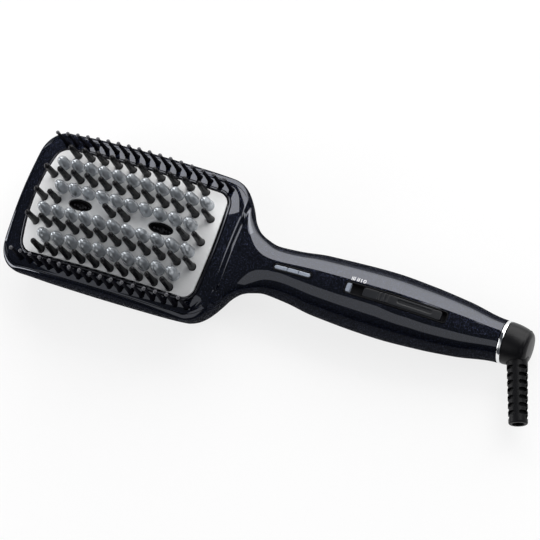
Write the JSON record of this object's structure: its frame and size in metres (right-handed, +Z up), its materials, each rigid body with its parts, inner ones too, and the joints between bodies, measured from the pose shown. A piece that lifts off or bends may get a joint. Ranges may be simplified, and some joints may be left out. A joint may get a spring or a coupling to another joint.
{
  "type": "heated smoothing brush",
  "caption": "Paddle-shaped heated smoothing brush with a domed metal plate, pin rows, side combs, a sliding switch and a swivelling strain relief.",
  "frame": {"origin": "on the resting surface, under the middle of the whole brush's box", "axes": "+X along the brush from the head to the cord end, +Z up, away from the back and through the pins"},
  "size_m": [0.3032, 0.084, 0.0546],
  "materials": {
    "gloss_housing": "deep navy black gloss with fine metallic flakes",
    "plate_metal": "brushed, cast studs",
    "surround_black": "gloss",
    "pin_black": "matte",
    "comb_black": "matte with grey ball tips",
    "satin_black": "satin",
    "clear_grey": "clear polished",
    "button_grey": "satin",
    "chrome": "polished",
    "relief_rubber": "satin rubber",
    "heat_plastic": "heat resistant moulded",
    "ceramic": "unglazed",
    "board_green": "lacquered board",
    "metal_part": "plain",
    "screw_steel": "dark zinc",
    "moulded_part": "moulded",
    "lamp_white": "diffusing"
  },
  "bodies": {
    "brush": {"front_housing": "gloss_housing", "rear_housing": "gloss_housing", "heating_plate": "plate_metal", "plate_surround": "surround_black", "pin_strip_1": "pin_black", "pin_strip_2": "pin_black", "pin_strip_3": "pin_black", "pin_strip_4": "pin_black", "pin_strip_centre_left": "pin_black", "pin_strip_centre_middle": "pin_black", "pin_strip_centre_right": "pin_black", "ion_outlet_front": "pin_black", "ion_outlet_rear": "pin_black", "side_comb_left": "comb_black", "side_comb_right": "comb_black", "indicator_bezel": "satin_black", "switch_bezel": "satin_black", "indicator_lens": "clear_grey", "switch_clear_end": "clear_grey", "end_ring": "chrome", "heater_carrier": "heat_plastic", "ceramic_heater_left": "ceramic", "ceramic_heater_right": "ceramic", "lamp_board": "board_green", "main_board": "board_green", "ion_needle_front": "metal_part", "ion_needle_rear": "metal_part", "thermal_fuse": "metal_part", "heat_shield": "metal_part", "head_screw_1": "screw_steel", "head_screw_2": "screw_steel", "head_screw_3": "screw_steel", "head_screw_4": "screw_steel", "handle_screw_1": "screw_steel", "handle_screw_2": "screw_steel", "temperature_sensor": "moulded_part", "ion_generator": "moulded_part", "slide_switch": "moulded_part", "capacitor": "moulded_part", "triac": "moulded_part", "swivel_bush": "moulded_part", "contact_block": "moulded_part", "status_lamp_1": "lamp_white", "status_lamp_2": "lamp_white", "status_lamp_3": "lamp_white"},
    "slider": {"slider_button": "button_grey"},
    "swivel": {"swivel_core": "moulded_part", "slip_ring": "metal_part", "swivel_cap": "satin_black", "strain_relief": "relief_rubber"}
  },
  "joints": [
    {"name": "switch_slide", "type": "slide", "parent": "brush", "child": "slider", "axis": [0.9945, 0, -0.1044], "range_m": [-0.0066, 0]},
    {"name": "cord_swivel", "type": "hinge", "parent": "brush", "child": "swivel", "pos_m": [0.13281, 0, 0.0126], "axis": [-1, 0, 0], "continuous": true}
  ]
}
